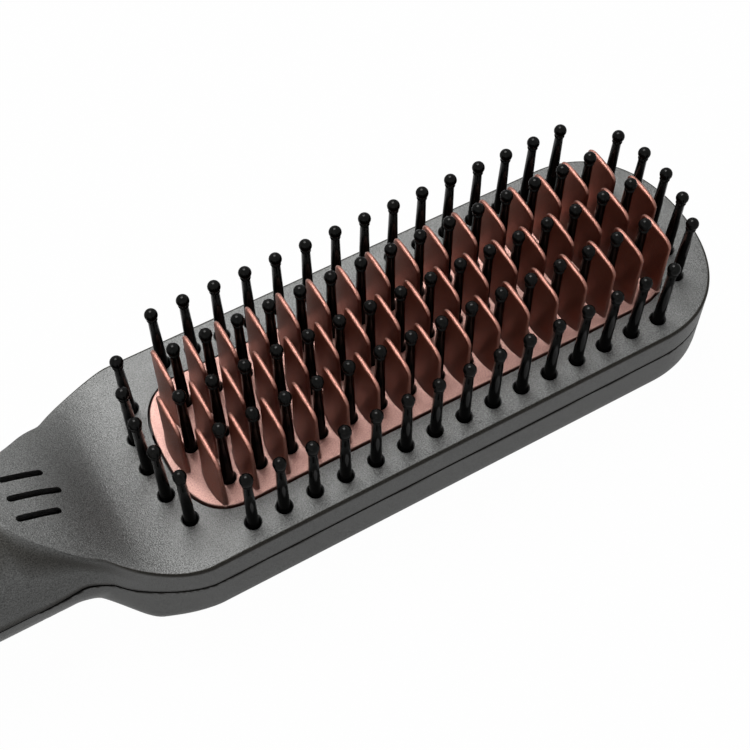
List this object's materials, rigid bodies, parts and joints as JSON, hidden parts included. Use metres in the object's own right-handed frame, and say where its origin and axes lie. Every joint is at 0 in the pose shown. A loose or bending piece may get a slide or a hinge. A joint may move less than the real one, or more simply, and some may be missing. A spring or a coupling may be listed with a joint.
{
  "type": "heated styling brush",
  "caption": "Heated hair styling brush with a finned heating plate, ball-tipped bristles, a round handle with buttons and a swivelling cord gland.",
  "frame": {"origin": "centre of the flat back of the head, under the middle of the bristle field", "axes": "+X along the brush from the handle to the tip, +Z the way the bristles point"},
  "size_m": [0.2883, 0.0494, 0.0405],
  "materials": {
    "housing_paint": "satin metallic paint with a fine grain",
    "plate_coating": "satin rose-gold coating",
    "bristle_black": "glossy",
    "heat_plastic": "matte",
    "heater_ceramic": "matte",
    "mica": "satin",
    "sensor_glass": "clear",
    "steel": "satin",
    "lead_red": "satin",
    "lead_blue": "satin",
    "inner_plastic": "matte",
    "board_green": "satin",
    "button_plastic": "satin",
    "lens_clear": "clear",
    "handle_trim": "satin",
    "brass": "bright"
  },
  "bodies": {
    "brush": {"front_housing": "housing_paint", "back_housing": "housing_paint", "heating_plate": "plate_coating", "inner_bristles_near": "bristle_black", "inner_bristles_middle": "bristle_black", "inner_bristles_far": "bristle_black", "outer_bristles_near": "bristle_black", "outer_bristles_far": "bristle_black", "outer_bristles_tip": "bristle_black", "outer_bristles_neck": "bristle_black", "plate_carrier": "heat_plastic", "heater_near": "heater_ceramic", "heater_far": "heater_ceramic", "mica_sheet_near": "mica", "mica_sheet_far": "mica", "thermistor": "sensor_glass", "thermal_fuse": "steel", "carrier_screw_1": "steel", "carrier_screw_2": "steel", "carrier_screw_3": "steel", "carrier_screw_4": "steel", "board_screw_1": "steel", "board_screw_2": "steel", "housing_screw_1": "steel", "housing_screw_2": "steel", "heater_lead_near": "lead_red", "heater_lead_far": "lead_red", "ion_lead": "lead_red", "thermistor_lead": "lead_blue", "thermal_fuse_lead": "lead_blue", "ion_emitter": "inner_plastic", "ion_generator": "inner_plastic", "capacitor": "inner_plastic", "triac": "inner_plastic", "heat_up_switch": "inner_plastic", "heat_down_switch": "inner_plastic", "power_switch": "inner_plastic", "swivel_bearing": "inner_plastic", "control_board": "board_green", "power_board": "board_green", "contact_plate": "board_green", "indicator_lens": "lens_clear", "end_cap": "handle_trim", "contact_pin_outer": "brass", "contact_pin_inner": "brass"},
    "heat_up": {"heat_up_button": "button_plastic"},
    "heat_down": {"heat_down_button": "button_plastic"},
    "power": {"power_button": "button_plastic"},
    "swivel": {"swivel_gland": "handle_trim", "slip_ring_outer": "brass", "slip_ring_inner": "brass"}
  },
  "joints": [
    {"name": "heat_up_press", "type": "slide", "parent": "brush", "child": "heat_up", "axis": [0, 0, -1], "range_m": [0, 0.0006], "stiffness_N_per_m": 1500},
    {"name": "heat_down_press", "type": "slide", "parent": "brush", "child": "heat_down", "axis": [0, 0, -1], "range_m": [0, 0.0006], "stiffness_N_per_m": 1500},
    {"name": "power_press", "type": "slide", "parent": "brush", "child": "power", "axis": [0, 0, -1], "range_m": [0, 0.0006], "stiffness_N_per_m": 1500},
    {"name": "cord_swivel", "type": "hinge", "parent": "brush", "child": "swivel", "pos_m": [-0.21, 0, 0.0178], "axis": [1, 0, 0], "continuous": true}
  ]
}
